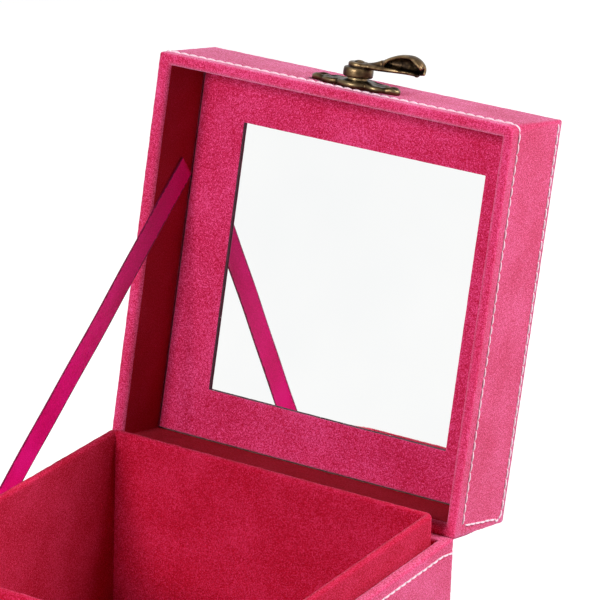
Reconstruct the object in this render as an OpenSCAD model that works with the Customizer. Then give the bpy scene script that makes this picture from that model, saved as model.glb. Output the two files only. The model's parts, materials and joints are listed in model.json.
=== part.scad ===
/* [Box] */
// Width of the box, left to right
box_w = 120; // [100:1:160]
// Depth of the box, front to back
box_d = 122; // [100:1:160]
// Height of the base up to its rim
base_h = 65; // [50:1:90]
// Height of the lid from its rim to its top
lid_h = 32; // [32:1:45]
// Angle the lid stands open at with its ribbon taut
open_angle = 101.6; // [98:0.1:106]
// Radius of the upright corners
corner_r = 1.6; // [1.2:0.1:4]
// Gap between the closed lid and the base
rim_gap = 0.3; // [0.2:0.1:0.6]

/* [Walls] */
// Thickness of the suede wrap
suede_t = 0.8; // [0.6:0.1:1]
// Thickness of the wall boards
board_t = 2; // [1.5:0.1:2.2]
// Thickness of the suede turned in behind the rim
turn_in_t = 0.7; // [0.5:0.1:0.8]
// Depth of the turned-in suede in the base
turn_in_depth = 18; // [10:1:30]
// Thickness of the board under the lid's top
top_board_t = 2.5; // [2:0.1:3]

/* [Liner] */
// Distance of the liner's outer face from the outside of the box
liner_inset = 4.25; // [4.2:0.05:4.6]
// Thickness of the liner walls
liner_t = 2.4; // [1.8:0.1:3]
// Height of the liner collar above the base's rim
collar_h = 8.4; // [5:0.2:8.4]
// Thickness of the floor pad
pad_t = 4.2; // [3:0.1:6]

/* [Mirror] */
// Depth of the lid's recess from its rim to the mirror frame
recess_depth = 21.6; // [20:0.1:22]
// Thickness of the covered card round the mirror
frame_t = 1.2; // [0.8:0.1:1.6]
// Side of the mirror window, left to right
window_w = 83.1; // [60:0.1:85]
// Side of the mirror window, hinge to front
window_d = 83.6; // [60:0.1:85]
// Sideways shift of the window, to the right
window_shift = 1.3; // [0:0.1:2]
// Thickness of the mirror glass
glass_t = 2; // [1.5:0.1:2]
// Cover of the frame over the glass on each side
glass_lap = 6; // [4:0.5:8]

/* [Ribbon] */
// Width of the stay ribbon
ribbon_w = 9; // [8:0.5:10]
// Thickness of the stay ribbon
ribbon_t = 0.3; // [0.2:0.05:0.4]
// Depth at which the ribbon crosses the base's rim, from the box's middle
ribbon_base_y = -8.4; // [-12:0.1:-6]
// Distance from the hinge at which the ribbon crosses the lid's rim
ribbon_lid_v = 65.6; // [62:0.1:68]
// Length glued inside the base
ribbon_base_tail = 32; // [20:1:40]
// Length glued inside the lid
ribbon_lid_tail = 27.5; // [15:0.5:27.5]

/* [Latch] */
// Height of the hook's pivot above the lid's rim
pivot_w = 12; // [12:0.5:14]
// Sideways place of the latch
latch_x = 1.5; // [-5:0.5:5]
// Distance from the pivot to the keeper's knob
knob_reach = 19.5; // [19:0.1:20]
// Angle of the hook below the pivot's level, lid open
hook_drop = 13; // [0:1:40]
// Thickness of the stamped plates
plate_t = 1; // [0.8:0.1:1.2]
// Radius of the pivot's shaft
pivot_r = 1.5; // [1.2:0.1:1.8]
// Radius of the knob's neck
neck_r = 1.5; // [1.2:0.1:1.6]

/* [Hidden] */

$fn = 48;
board_in = suede_t + board_t;            // inset of the boards' inner faces
wall_t = board_in + turn_in_t;           // whole wall at the rim
half_d = box_d / 2;
base_rim_z = base_h - rim_gap / 2;       // top of the suede on the base's rim
lid_rim_w = rim_gap;                     // lower edge of the suede on the lid's rim
cover_t = 0.8;                           // bottom and top covers
floor_z = cover_t + board_t;             // top of the floor board
lid_board_top = lid_h - cover_t - top_board_t;
pin_r = 0.7;
pin_head_r = 1.3;
pin_head_h = 0.7;
pin_depth = 2.2;                         // how far pins reach into the wall
fit_gap = 0.02;                          // round a pin that is driven in
slide_gap = 0.05;                        // round the pivot, which turns
pad_gap = 0.2;                           // round the floor pad
card_gap = 0.1;                          // round the mirror frame
backing_lap = 3;                         // of the backing over the glass
cover_inset = 0.6;                       // of the bottom cover from the walls
min_r = 0.4;                             // smallest radius of an upright corner
over_cut = 1;                            // how far cutting shapes reach past a face
sink = 0.2;                              // how far shapes of one piece reach into each other
thread_w = 0.6;
thread_h = 0.25;
base_stitch_z = base_h - 3.4;
lid_stitch_rim = 4.8;
lid_stitch_top = lid_h - 2.7;
lid_stitch_hinge = 3.2;
keeper_z = base_h + pivot_w - knob_reach;
keeper_pin_x = 6;
keeper_clear = [20, 14, 8];              // left free of stitching round the keeper
latch_pin_x = 12;
boss_r = 3;                              // under the hook's eye
rivet_head_r = 2.3;
rivet_head_h = 0.5;
hook_low = 3.05;                         // hook's underside above the wall
hook_high = 6;                           // top of its eye
arm_high = 7.6;                          // top of the arm that lies over the eye
eye_r = 4.5;
arm_root_r = 3.4;
arm_len = 17;
arm_w = 4.4;
arm_edge = -2;                           // edge of the arm on the notch's side
tip_len = 4;
tip_r = 1.7;
tip_y = 0.7;
notch_gap = 0.3;                         // round the knob's neck
notch_depth = 4;
knob_head_low = 8.2;
knob_head_high = 10.1;
knob_head_r = 2.6;
knob_dome_r = 3.3;
horn_r = 13;                             // radius of the horn's arch
horn_x = 19.8;
horn_z = -1.2;
horn_from = 66;
horn_to = 135;
horn_thick = 1.3;
horn_end_r = 1.8;
hinge_flap = 16;
flap_t = 0.6;
flap_w = box_w - 8;
ribbon_x = -(box_w / 2 - (wall_t + liner_inset) / 2);

// Ribbon's two rim crossings, as [y, z] in the box's frame
ribbon_low = [ribbon_base_y, base_h];
ribbon_high = [half_d, base_h] + lid_point(ribbon_lid_v, 0);
ribbon_run = ribbon_high - ribbon_low;
ribbon_angle = atan2(ribbon_run[1], ribbon_run[0]);

// Rectangle with round corners, made of exact arcs
module rounded_rect(w, d, r) {
    square([w - 2 * r, d], center = true);
    square([w, d - 2 * r], center = true);
    for (sx = [-1, 1], sy = [-1, 1])
        translate([sx * (w / 2 - r), sy * (d / 2 - r)]) circle(r);
}

// Block with the box's outline, moved in by inset on every side
module outline_block(inset, low, high) {
    translate([0, 0, low])
        linear_extrude(high - low)
            rounded_rect(box_w - 2 * inset, box_d - 2 * inset, max(corner_r - inset, min_r));
}

// Lid geometry is drawn closed, with the hinge line on the x axis
module lid_place() {
    translate([0, half_d, base_h]) rotate([-open_angle, 0, 0]) children();
}

// Centres the box's outline on the lid
module over_lid() {
    translate([0, -half_d, 0]) children();
}

// Frame of the latch: x along the wall, y up it, z out of it
module lid_latch_place() {
    lid_place() translate([latch_x, -box_d, pivot_w]) rotate([90, 0, 0]) children();
}

module keeper_place() {
    translate([latch_x, -half_d, keeper_z]) rotate([90, 0, 0]) children();
}

// Slab between two y values that cuts one wall out of a ring of boards
module wall_slab(x0, x1, y0, y1, low, high) {
    translate([x0, y0, low]) cube([x1 - x0, y1 - y0, high - low]);
}

// side: "front", "back", "left" or "right" board of one ring
module ring_board(side, low, high) {
    x_out = box_w / 2 - suede_t;
    x_in = box_w / 2 - board_in;
    y_out = half_d - suede_t;
    y_in = half_d - board_in;
    intersection() {
        outline_block(suede_t, low, high);
        if (side == "front") wall_slab(-x_out, x_out, -y_out, -y_in, low, high);
        if (side == "back") wall_slab(-x_out, x_out, y_in, y_out, low, high);
        if (side == "left") wall_slab(-x_out, -x_in, -y_in, y_in, low, high);
        if (side == "right") wall_slab(x_in, x_out, -y_in, y_in, low, high);
    }
}

// side: one wall of the velvet liner
module liner_wall(side) {
    x_out = box_w / 2 - liner_inset;
    x_in = x_out - liner_t;
    y_out = half_d - liner_inset;
    y_in = y_out - liner_t;
    low = floor_z;
    high = base_h + collar_h;
    intersection() {
        translate([0, 0, low])
            linear_extrude(high - low) rounded_rect(2 * x_out, 2 * y_out, liner_t);
        if (side == "front") wall_slab(-x_out, x_out, -y_out, -y_in, low, high);
        if (side == "back") wall_slab(-x_out, x_out, y_in, y_out, low, high);
        if (side == "left") wall_slab(-x_out, -x_in, -y_in, y_in, low, high);
        if (side == "right") wall_slab(x_in, x_out, -y_in, y_in, low, high);
    }
}

// Domed pin with its shank below z = 0
module pin(head_r, head_h, shank_r, shank_len) {
    dome_r = 1.3 * head_r;
    translate([0, 0, -shank_len]) cylinder(r = shank_r, h = shank_len);
    rotate_extrude() intersection() {
        translate([0, head_h - dome_r]) circle(dome_r);
        square([head_r, head_h]);
    }
}

module pin_holes(half_span, radius, depth, height) {
    for (side = [-1, 1])
        translate([side * half_span, 0, -depth]) cylinder(r = radius, h = depth + height);
}

// Holes that the latch on the lid needs in what lies behind it
module lid_latch_holes() {
    lid_latch_place() {
        pin_holes(latch_pin_x, pin_r + fit_gap, pin_depth, plate_t + over_cut);
        translate([0, 0, -pin_depth])
            cylinder(r = pivot_r + fit_gap, h = pin_depth + plate_t + over_cut);
    }
}

module keeper_holes() {
    keeper_place() {
        pin_holes(keeper_pin_x, pin_r + fit_gap, pin_depth, plate_t + over_cut);
        translate([0, 0, -pin_depth])
            cylinder(r = neck_r + fit_gap, h = pin_depth + plate_t + over_cut);
    }
}

module bottom_cover() {
    color("palevioletred") outline_block(cover_inset, 0, cover_t);
}

module floor_board() {
    color("burlywood") translate([0, 0, cover_t])
        linear_extrude(board_t) square([box_w - 2 * board_in, box_d - 2 * board_in], center = true);
}

module base_board(side) {
    color("burlywood") ring_board(side, cover_t, base_rim_z - suede_t);
}

module base_front_board() {
    difference() {
        base_board("front");
        keeper_holes();
    }
}

// Suede round the outside, over the rim and down behind it
module base_wrap() {
    color("deeppink") difference() {
        outline_block(0, cover_t, base_rim_z);
        outline_block(wall_t, 0, base_h);
        outline_block(board_in, 0, base_rim_z - turn_in_depth);
        difference() {
            outline_block(suede_t, 0, base_rim_z - suede_t);
            outline_block(board_in, base_rim_z - turn_in_depth, base_h);
        }
        keeper_holes();
    }
}

// Raised line of stitching round three walls
module stitch_ring(height, lift) {
    difference() {
        outline_block(-lift, height - thread_w / 2, height + thread_w / 2);
        outline_block(0, height - thread_w, height + thread_w);
        translate([0, half_d, height])
            cube([flap_w, 4 * thread_w, 4 * thread_w], center = true);
    }
}

module base_thread() {
    color("mistyrose") difference() {
        stitch_ring(base_stitch_z, thread_h);
        keeper_place() cube(keeper_clear, center = true);
    }
}

module floor_pad() {
    color("mediumvioletred")
        translate([0, 0, floor_z]) linear_extrude(pad_t)
            square([
                box_w - 2 * (liner_inset + liner_t + pad_gap),
                box_d - 2 * (liner_inset + liner_t + pad_gap),
            ], center = true);
}

// Lobed plate: a middle disc, two shoulders and two pinned ends
module lobed_outline(mid_r, shoulder_x, shoulder_r, end_x, end_r) {
    circle(mid_r);
    for (side = [-1, 1]) {
        translate([side * shoulder_x, 0]) circle(shoulder_r);
        translate([side * end_x, 0]) circle(end_r);
    }
    square([2 * end_x, end_r], center = true);
}

module keeper_plate() {
    color("darkgoldenrod") keeper_place() linear_extrude(plate_t) difference() {
        lobed_outline(5, 4, 3.4, keeper_pin_x + 0.5, 2.2);
        circle(neck_r + fit_gap);
        for (side = [-1, 1]) translate([side * keeper_pin_x, 0]) circle(pin_r + fit_gap);
    }
}

// Mushroom knob: neck, undercut head and dome
module keeper_knob() {
    color("darkgoldenrod") keeper_place() {
        translate([0, 0, -pin_depth]) cylinder(r = neck_r, h = pin_depth + knob_head_low + 2 * sink);
        rotate_extrude() intersection() {
            translate([0, knob_head_high - knob_dome_r]) circle(knob_dome_r);
            translate([0, knob_head_low]) square([knob_head_r, knob_head_high - knob_head_low]);
        }
    }
}

module keeper_pins() {
    color("peru") keeper_place() for (side = [-1, 1])
        translate([side * keeper_pin_x, 0, plate_t])
            pin(pin_head_r, pin_head_h, pin_r, plate_t + pin_depth - sink);
}

module lid_board(side) {
    color("burlywood") lid_place() over_lid()
        ring_board(side, lid_rim_w + suede_t, lid_board_top);
}

module lid_front_board() {
    difference() {
        lid_board("front");
        lid_latch_holes();
    }
}

module lid_top_board() {
    color("burlywood") lid_place() over_lid()
        outline_block(suede_t, lid_board_top, lid_h - cover_t);
}

// Suede band round the lid, over the rim and down to the mirror frame
module lid_wrap() {
    color("deeppink") difference() {
        lid_place() over_lid() difference() {
            outline_block(0, lid_rim_w, lid_h - cover_t);
            outline_block(wall_t, -over_cut, lid_h);
            outline_block(board_in, recess_depth, lid_h);
            difference() {
                outline_block(suede_t, lid_rim_w + suede_t, lid_h);
                outline_block(board_in, -over_cut, recess_depth);
            }
        }
        lid_latch_holes();
    }
}

module lid_top_cover() {
    color("hotpink") lid_place() over_lid() outline_block(0, lid_h - cover_t, lid_h);
}

module lid_thread() {
    post_h = lid_stitch_top - lid_stitch_rim - thread_w;
    color("mistyrose") lid_place() {
        over_lid() {
            stitch_ring(lid_stitch_rim, thread_h);
            stitch_ring(lid_stitch_top, thread_h);
        }
        for (side = [-1, 1])
            translate([
                side * (box_w / 2 + thread_h / 2),
                -lid_stitch_hinge,
                (lid_stitch_rim + lid_stitch_top) / 2,
            ])
                cube([thread_h, thread_w, post_h], center = true);
    }
}

// Covered card with the window that the mirror shows through
module mirror_frame() {
    color("mediumvioletred") lid_place() over_lid()
        translate([0, 0, recess_depth]) linear_extrude(frame_t) difference() {
            square([box_w - 2 * (wall_t + card_gap), box_d - 2 * (wall_t + card_gap)], center = true);
            translate([window_shift, 0]) square([window_w, window_d], center = true);
        }
}

module mirror_glass() {
    color("aliceblue") lid_place() over_lid()
        translate([window_shift, 0, recess_depth + frame_t]) linear_extrude(glass_t)
            square([window_w + 2 * glass_lap, window_d + 2 * glass_lap], center = true);
}

module mirror_backing() {
    backing_low = recess_depth + frame_t + glass_t;
    lap = 2 * (glass_lap + backing_lap);
    color("tan") lid_place() over_lid()
        translate([window_shift, 0, backing_low]) linear_extrude(lid_board_top - backing_low)
            square([window_w + lap, window_d + lap], center = true);
}

module latch_plate() {
    color("darkgoldenrod") lid_latch_place() linear_extrude(plate_t) difference() {
        lobed_outline(6.2, 7, 4.4, latch_pin_x + 0.6, 2.4);
        circle(pivot_r + fit_gap);
        for (side = [-1, 1]) translate([side * latch_pin_x, 0]) circle(pin_r + fit_gap);
    }
}

module latch_pins() {
    color("peru") lid_latch_place() for (side = [-1, 1])
        translate([side * latch_pin_x, 0, plate_t])
            pin(pin_head_r, pin_head_h, pin_r, plate_t + pin_depth - sink);
}

// Shaft, the boss under the hook and the peened head over it
module latch_rivet() {
    color("peru") lid_latch_place() {
        translate([0, 0, -pin_depth]) cylinder(r = pivot_r, h = pin_depth + arm_high + sink);
        translate([0, 0, plate_t]) cylinder(r = boss_r, h = hook_low - plate_t - slide_gap);
        translate([0, 0, arm_high + slide_gap]) pin(rivet_head_r, rivet_head_h, pivot_r, pin_head_h);
    }
}

// Flat arm with a notch for the knob's neck on its leading side
module hook_arm() {
    notch_r = neck_r + notch_gap;
    linear_extrude(arm_high - hook_high + sink) difference() {
        union() {
            circle(arm_root_r);
            translate([0, arm_edge]) square([arm_len, arm_w]);
            translate([arm_len, tip_y - tip_r]) square([tip_len, 2 * tip_r]);
            translate([arm_len + tip_len, tip_y]) circle(tip_r);
        }
        translate([knob_reach, 0]) circle(notch_r);
        translate([knob_reach - notch_r, -notch_depth]) square([2 * notch_r, notch_depth]);
    }
}

// Hook in its own frame: pivot at the origin, arm along x
module latch_hook() {
    color("goldenrod") lid_latch_place() rotate([0, 0, -hook_drop]) {
        difference() {
            union() {
                translate([0, 0, hook_low]) cylinder(r = eye_r, h = hook_high - hook_low);
                translate([0, 0, hook_high - sink]) hook_arm();
            }
            cylinder(r = pivot_r + slide_gap, h = arm_high + over_cut);
        }
        translate([horn_x, 0, horn_z]) rotate([90, 0, 0])
            rotate([0, 0, horn_from]) rotate_extrude(angle = horn_to - horn_from)
                translate([horn_r, 0]) circle(horn_thick);
        translate([
            horn_x + horn_r * cos(horn_from), 0, horn_z + horn_r * sin(horn_from),
        ]) sphere(horn_end_r);
    }
}

// Point of the lid as [y, z] from the hinge line: v along the lid, w out of its rim
function lid_point(v, w) = [
    w * sin(open_angle) - v * cos(open_angle),
    v * sin(open_angle) + w * cos(open_angle),
];

// Suede hinge glued to the back of the base and of the lid, bent along the hinge line
module hinge_strip() {
    fold = flap_t * (1 - cos(open_angle)) / sin(open_angle);
    color("deeppink") translate([0, half_d, base_h])
        rotate([90, 0, 90]) linear_extrude(flap_w, center = true) polygon([
            [0, -hinge_flap],
            [flap_t, -hinge_flap],
            [flap_t, -fold],
            lid_point(-flap_t, hinge_flap),
            lid_point(0, hinge_flap),
            lid_point(0, lid_rim_w),
            [0, -rim_gap / 2],
        ]);
}

// Flat ribbon, taut from the base's left wall to the lid's
module stay_ribbon() {
    run = norm(ribbon_run);
    color("mediumvioletred")
        translate([ribbon_x, ribbon_low[0], ribbon_low[1]])
            rotate([ribbon_angle, 0, 0])
                translate([-ribbon_t / 2, -ribbon_base_tail, -ribbon_w / 2])
                    cube([ribbon_t, ribbon_base_tail + run + ribbon_lid_tail, ribbon_w]);
}

bottom_cover();
floor_board();
base_front_board();
base_board("back");  // base_back_board
base_board("left");  // base_left_board
base_board("right");  // base_right_board
base_wrap();
base_thread();
color("mediumvioletred") liner_wall("front");  // liner_front
color("mediumvioletred") liner_wall("back");  // liner_back
color("mediumvioletred") liner_wall("left");  // liner_left
color("mediumvioletred") liner_wall("right");  // liner_right
floor_pad();
keeper_plate();
keeper_knob();
keeper_pins();
lid_front_board();
lid_board("back");  // lid_back_board
lid_board("left");  // lid_left_board
lid_board("right");  // lid_right_board
lid_top_board();
lid_wrap();
lid_top_cover();
lid_thread();
mirror_frame();
mirror_glass();
mirror_backing();
latch_plate();
latch_pins();
latch_rivet();
latch_hook();
hinge_strip();
stay_ribbon();
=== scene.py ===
import json
import math
import random

import bmesh
import bpy
from mathutils import Matrix, Vector, noise


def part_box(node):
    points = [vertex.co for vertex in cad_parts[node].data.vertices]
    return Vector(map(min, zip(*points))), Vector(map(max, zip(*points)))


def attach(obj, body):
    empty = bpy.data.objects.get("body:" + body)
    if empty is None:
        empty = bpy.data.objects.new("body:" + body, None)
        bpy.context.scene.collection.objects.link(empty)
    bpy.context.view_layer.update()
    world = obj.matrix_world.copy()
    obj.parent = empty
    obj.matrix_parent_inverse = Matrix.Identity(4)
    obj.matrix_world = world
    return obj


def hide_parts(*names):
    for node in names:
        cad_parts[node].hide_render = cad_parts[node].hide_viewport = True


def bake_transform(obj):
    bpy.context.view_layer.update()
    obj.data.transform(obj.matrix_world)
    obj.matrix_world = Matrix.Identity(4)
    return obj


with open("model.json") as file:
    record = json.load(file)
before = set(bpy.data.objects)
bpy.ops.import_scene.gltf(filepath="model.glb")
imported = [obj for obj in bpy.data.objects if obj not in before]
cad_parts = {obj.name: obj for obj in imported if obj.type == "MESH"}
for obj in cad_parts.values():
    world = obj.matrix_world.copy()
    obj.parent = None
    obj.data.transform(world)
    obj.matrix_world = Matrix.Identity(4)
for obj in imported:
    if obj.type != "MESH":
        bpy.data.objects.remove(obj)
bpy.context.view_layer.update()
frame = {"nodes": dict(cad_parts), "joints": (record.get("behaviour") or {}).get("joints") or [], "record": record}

MM = 0.001

# ---------------------------------------------------------------- places taken from the frame

LID_JOINT = next(j for j in frame["joints"] if j["name"] == "lid_hinge")
HINGE = Vector(LID_JOINT["pos_m"])
OPEN = math.radians(LID_JOINT["range_deg"][1])

# From the closed lid, with its hinge line on the x axis, to the lid where it stands open
LID = Matrix.Translation(HINGE) @ Matrix.Rotation(-OPEN, 4, "X")


def box_in(node, place):
    """Lowest and highest corners of a CAD node, in the frame that place maps from."""
    back = place.inverted()
    points = [back @ v.co for v in frame["nodes"][node].data.vertices]
    low = Vector([min(p[i] for p in points) for i in range(3)])
    high = Vector([max(p[i] for p in points) for i in range(3)])
    return low, high


base_low, base_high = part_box("base_wrap")
HALF_W = base_high.x
HALF_D = base_high.y
RIM_Z = base_high.z
lid_low, lid_high = box_in("lid_wrap", LID)
LID_RIM = lid_low.z
BAND_TOP = lid_high.z
LID_MIDDLE = LID @ Matrix.Translation((0, -HALF_D, 0))
card_low, card_high = box_in("mirror_frame", LID)
FRAME_FACE = card_low.z
cover_low, cover_high = box_in("lid_top_cover", LID)
liner_low, liner_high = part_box("liner_right")
LINER_INSET = HALF_W - liner_high.x
LINER_T = liner_high.x - liner_low.x
LINER_TOP = liner_high.z
LINER_BOTTOM = liner_low.z
CARD_GAP = 0.1 * MM
WALL = HALF_W - card_high.x - CARD_GAP
TURN_IN = 18 * MM

# Frames of the two halves of the latch: x along the wall, y up it, z out of it
UPRIGHT = Matrix.Rotation(math.radians(90), 4, "X")
plate_low, plate_high = box_in("latch_plate", LID)
PIVOT_W = (plate_low.z + plate_high.z) / 2
LATCH_X = (plate_low.x + plate_high.x) / 2
LATCH = LID @ Matrix.Translation((LATCH_X, -2 * HALF_D, PIVOT_W)) @ UPRIGHT
keep_low, keep_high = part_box("keeper_plate")
KEEPER_Z = (keep_low.z + keep_high.z) / 2
KEEPER = Matrix.Translation((LATCH_X, -HALF_D, KEEPER_Z)) @ UPRIGHT
HOOK_DROP = math.radians(13)
HOOK = LATCH @ Matrix.Rotation(-HOOK_DROP, 4, "Z")

# ---------------------------------------------------------------- mesh helpers

MESH_STEP = 0.9 * MM
ARC_STEPS = 6
LEAST_R = 0.4 * MM
SEAM_PULL = 0.15 * MM
SEAM_WIDTH = 0.45 * MM


def new_object(name, verts, faces, material, place=None):
    mesh = bpy.data.meshes.new(name)
    mesh.from_pydata([tuple(v) for v in verts], [], faces)
    if place is not None:
        mesh.transform(place)
    shape = bmesh.new()
    shape.from_mesh(mesh)
    bmesh.ops.recalc_face_normals(shape, faces=shape.faces)
    shape.to_mesh(mesh)
    shape.free()
    mesh.validate()
    mesh.shade_smooth()
    piece = bpy.data.objects.new(name, mesh)
    bpy.context.scene.collection.objects.link(piece)
    piece.data.materials.append(material)
    return piece


def rect_loop(half_w, half_d, radius, step=MESH_STEP, size=None):
    """Rounded rectangle as points (x, y, nx, ny). Every loop of one size has the same count.

    The radius is one number, or four: front right, back right, back left, front left.
    """
    size_w, size_d = size or (half_w, half_d)
    radii = radius if isinstance(radius, tuple) else (radius,) * 4
    signs = ((1, -1), (1, 1), (-1, 1), (-1, -1))
    centres = [Vector((sx * (half_w - r), sy * (half_d - r))) for (sx, sy), r in zip(signs, radii)]
    counts = [max(2, round(2 * half / step)) for half in (size_w, size_d, size_w, size_d)]
    points = []
    for k, facing in enumerate((-90, 0, 90, 180)):
        normal = Vector((math.cos(math.radians(facing)), math.sin(math.radians(facing))))
        start = centres[k - 1] + normal * radii[k - 1]
        end = centres[k] + normal * radii[k]
        for i in range(counts[k] + 1):
            p = start.lerp(end, i / counts[k])
            points.append((p.x, p.y, normal.x, normal.y))
        for i in range(1, ARC_STEPS):
            turn = math.radians(facing + 90 * i / ARC_STEPS)
            n = Vector((math.cos(turn), math.sin(turn)))
            p = centres[k] + n * radii[k]
            points.append((p.x, p.y, n.x, n.y))
    return points


def densify(points, step):
    """The same open line with points about one step apart."""
    out = [points[0]]
    for a, b in zip(points, points[1:]):
        length = math.dist(a, b)
        parts = max(1, round(length / step))
        for i in range(1, parts + 1):
            out.append(tuple(x + (y - x) * i / parts for x, y in zip(a, b)))
    return out


def arc(cx, cy, r, start, end, parts):
    return [
        (cx + r * math.cos(math.radians(start + (end - start) * i / parts)),
         cy + r * math.sin(math.radians(start + (end - start) * i / parts)))
        for i in range(parts + 1)
    ]


def rim_profile(outer_len, inner_len, wall, r_out, r_in, step=MESH_STEP, seam=0.0):
    """Section of a covered wall as (inset, depth below the rim), from outside over the rim to inside."""
    line = [(0, outer_len)]
    if seam:
        fine_step = 0.3 * MM
        fine = [seam + i * fine_step for i in range(6, -7, -1)]
        pull = [SEAM_PULL * math.exp(-((d - seam) / SEAM_WIDTH) ** 2) for d in fine]
        line += list(zip(pull, fine))
    line += arc(r_out, r_out, r_out, 180, 270, 5)
    line += arc(wall - r_in, r_in, r_in, 270, 360, 5)
    line.append((wall, inner_len))
    return densify(line, step)


def skin(loops, closed_round=True):
    """Faces between loops with the same number of points, listed one after the other."""
    count = len(loops[0])
    verts = [p for loop in loops for p in loop]
    faces = []
    span = count if closed_round else count - 1
    for j in range(len(loops) - 1):
        for i in range(span):
            a = j * count + i
            b = j * count + (i + 1) % count
            faces.append((a, b, b + count, a + count))
    return verts, faces


def closed_skin(loops):
    """Skin that also joins the last loop to the first."""
    verts, faces = skin(loops)
    count = len(loops[0])
    last = len(verts) - count
    for i in range(count):
        j = (i + 1) % count
        faces.append((last + i, last + j, j, i))
    return verts, faces


def capped_skin(loops):
    """Skin with a flat face over the first loop and over the last."""
    verts, faces = skin(loops)
    count = len(loops[0])
    faces.append(tuple(range(count)))
    faces.append(tuple(range(len(verts) - count, len(verts))))
    return verts, faces


def level_loop(half, inset, height, radius, step=MESH_STEP):
    """Rounded rectangle at one height, set in from the one with these half sizes."""
    ring = rect_loop(half[0] - inset, half[1] - inset, radius, step, size=half)
    return [(x, y, height) for x, y, _, _ in ring]


def nap(piece, height=0.12 * MM, size=1.6 * MM, keep=None):
    """Raises the surface a little, unevenly, as brushed pile does."""
    mesh = piece.data
    tufts, strands = 0.6, 0.4
    finer = 2.3
    shifted = Vector((7.1, 3.3, 1.7))
    normals = [v.normal.copy() for v in mesh.vertices]
    for vertex, normal in zip(mesh.vertices, normals):
        if keep is not None and not keep(vertex.co):
            continue
        p = vertex.co / size
        lift = tufts * noise.noise(p) + strands * noise.noise(p * finer + shifted)
        vertex.co += normal * height * (0.5 + lift)
    mesh.update()


def suede_band(name, corner_at, profile, height_at, place=None):
    """A closed band: the section profile taken round the box, with corner radii for each depth."""
    loops = []
    for inset, depth in profile:
        radii = tuple(max(r - inset, LEAST_R) for r in corner_at(depth))
        loops.append(level_loop((HALF_W, HALF_D), inset, height_at(depth), radii))
    return new_object(name, *closed_skin(loops), SUEDE, place)


def crowned_pad(name, half, section, top, crown, spread, rows, step, corner, material, place=None):
    """Flat pad with an edge section of (inset, height), whose top rises from its edge to a slight crown."""
    edge = section[-1][0]
    insets = [edge + i * step for i in range(1, rows + 1)]
    rise = [(inset, top + crown * (1 - math.exp(-inset / spread))) for inset in insets]
    loops = [level_loop(half, inset, height, corner(inset), step) for inset, height in section + rise]
    return new_object(name, *capped_skin(loops), material, place)


def rounded_edge(width, low, rise):
    """Quarter round of a soft edge, as (inset, height), without its first point."""
    turns = [math.pi / 2 * i / 4 for i in range(1, 5)]
    return [(width * (1 - math.cos(t)), low + rise * math.sin(t)) for t in turns]


# ---------------------------------------------------------------- materials


def node_material(name):
    material = bpy.data.materials.new(name)
    material.use_nodes = True
    nodes = material.node_tree.nodes
    return material, nodes, material.node_tree.links, nodes["Principled BSDF"]


def object_coords(nodes):
    return nodes.new("ShaderNodeTexCoord").outputs["Object"]


def noise_node(nodes, links, coords, scale, detail, roughness):
    texture = nodes.new("ShaderNodeTexNoise")
    texture.inputs["Scale"].default_value = scale
    texture.inputs["Detail"].default_value = detail
    texture.inputs["Roughness"].default_value = roughness
    links.new(coords, texture.inputs["Vector"])
    return texture.outputs["Fac"]


def ramp_node(nodes, links, source, stops):
    ramp = nodes.new("ShaderNodeValToRGB")
    elements = ramp.color_ramp.elements
    while len(elements) < len(stops):
        elements.new(0.5)
    for element, (at, colour) in zip(elements, stops):
        element.position = at
        element.color = (*colour, 1)
    links.new(source, ramp.inputs["Fac"])
    return ramp.outputs["Color"]


def math_node(nodes, links, kind, a, b):
    node = nodes.new("ShaderNodeMath")
    node.operation = kind
    for socket, value in zip(node.inputs, (a, b)):
        if isinstance(value, (int, float)):
            socket.default_value = value
        else:
            links.new(value, socket)
    return node.outputs[0]


def weighted_sum(nodes, links, parts):
    """Sum of (source, weight) pairs."""
    total = None
    for source, weight in parts:
        part = math_node(nodes, links, "MULTIPLY", source, weight)
        total = part if total is None else math_node(nodes, links, "ADD", total, part)
    return total


def raised_edge(nodes, links, amount):
    """How far a point stands out on an edge. It is below zero in a hollow."""
    edge = nodes.new("ShaderNodeNewGeometry").outputs["Pointiness"]
    return math_node(nodes, links, "MULTIPLY", math_node(nodes, links, "SUBTRACT", edge, 0.5), amount)


def range_node(nodes, links, source, to_min, to_max, from_min=0.0, from_max=1.0):
    node = nodes.new("ShaderNodeMapRange")
    node.inputs["From Min"].default_value = from_min
    node.inputs["From Max"].default_value = from_max
    node.inputs["To Min"].default_value = to_min
    node.inputs["To Max"].default_value = to_max
    links.new(source, node.inputs["Value"])
    return node.outputs[0]


def add_bump(nodes, links, shader, source, strength, distance):
    bump = nodes.new("ShaderNodeBump")
    bump.inputs["Strength"].default_value = strength
    bump.inputs["Distance"].default_value = distance
    links.new(source, bump.inputs["Height"])
    links.new(bump.outputs["Normal"], shader.inputs["Normal"])


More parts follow.
